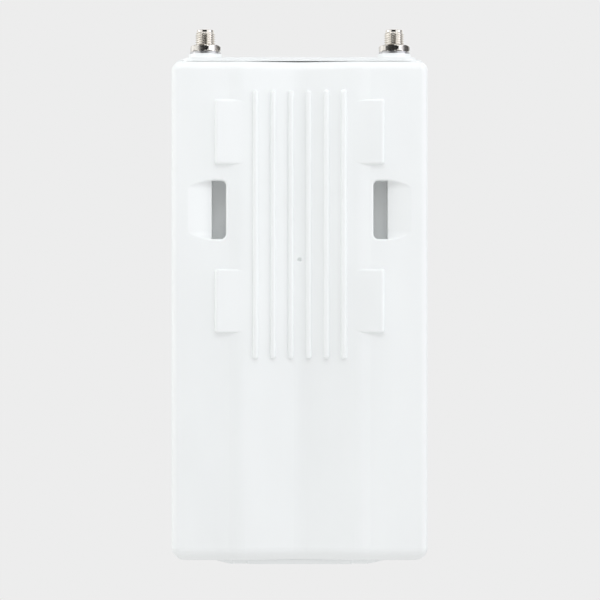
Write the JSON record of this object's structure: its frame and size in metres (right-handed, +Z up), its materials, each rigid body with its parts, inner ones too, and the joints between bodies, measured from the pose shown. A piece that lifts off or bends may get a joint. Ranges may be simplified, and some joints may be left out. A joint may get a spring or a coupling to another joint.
{
  "type": "outdoor wireless bridge",
  "caption": "Slim upright outdoor radio housing with a ribbed V saddle and strap slots for a pole, threaded antenna jacks on top and a sliding port cover at the foot.",
  "frame": {"origin": "bottom centre of the whole object box, under the middle of the port cover", "axes": "+Z up towards the antenna jacks, -Y the pole side with the saddle, +X to the right seen from the pole side"},
  "size_m": [0.08, 0.0296, 0.169],
  "materials": {
    "white_plastic": "satin white moulded ABS",
    "grey_rubber": "moulded rubber",
    "clear_plastic": "clear polycarbonate",
    "led_plastic": "encapsulated light emitting diode",
    "board_green": "glass epoxy laminate with solder mask",
    "steel": "zinc plated steel",
    "chip_black": "moulded epoxy package",
    "black_plastic": "glass filled nylon",
    "silver_case": "drawn aluminium can",
    "heat_sink_metal": "extruded aluminium",
    "pad_grey": "silicone thermal pad",
    "tin_plate": "tin plated steel sheet",
    "gold_plate": "gold plated contact",
    "nickel_plate": "nickel plated brass",
    "ptfe_white": "turned PTFE",
    "lead_jacket": "fluoropolymer jacket",
    "button_plastic": "moulded nylon"
  },
  "bodies": {
    "housing": {"antenna_jack_left": "nickel_plate", "antenna_jack_right": "nickel_plate", "board_screws": "steel", "bulk_capacitors": "silver_case", "case_screws": "steel", "case_seal": "grey_rubber", "clock_crystal": "silver_case", "coax_lead_left": "lead_jacket", "coax_lead_right": "lead_jacket", "coax_plug_left": "gold_plate", "coax_plug_right": "gold_plate", "coax_sockets": "gold_plate", "ethernet_transformer": "chip_black", "flash_chip": "chip_black", "front_cover": "white_plastic", "heat_sink": "heat_sink_metal", "jack_insulator_left": "ptfe_white", "jack_insulator_right": "ptfe_white", "jack_nut_left": "nickel_plate", "jack_nut_right": "nickel_plate", "jack_pin_left": "gold_plate", "jack_pin_right": "gold_plate", "jack_ring_left": "grey_rubber", "jack_ring_right": "grey_rubber", "jack_washer_left": "steel", "jack_washer_right": "steel", "light_pipes": "clear_plastic", "main_board": "board_green", "memory_chip": "chip_black", "network_jack_contacts": "gold_plate", "network_jack_insert": "black_plastic", "network_jack_shell": "tin_plate", "power_inductors": "chip_black", "processor_chip": "chip_black", "radio_chips": "chip_black", "rear_cover": "white_plastic", "regulator_chips": "chip_black", "reset_switch": "black_plastic", "shield_frame": "tin_plate", "shield_lid": "tin_plate", "status_leds": "led_plastic", "surge_protectors": "chip_black", "thermal_pad": "pad_grey"},
    "port_cover": {"port_cover": "white_plastic", "cable_grommet": "grey_rubber"},
    "reset_button": {"reset_button": "button_plastic"}
  },
  "joints": [
    {"name": "port_cover_slide", "type": "slide", "parent": "housing", "child": "port_cover", "axis": [0, 0, -1], "range_m": [0, 0.045]},
    {"name": "reset_button_press", "type": "slide", "parent": "housing", "child": "reset_button", "axis": [0, 0, 1], "range_m": [0, 0.0003], "stiffness_N_per_m": 3000}
  ]
}
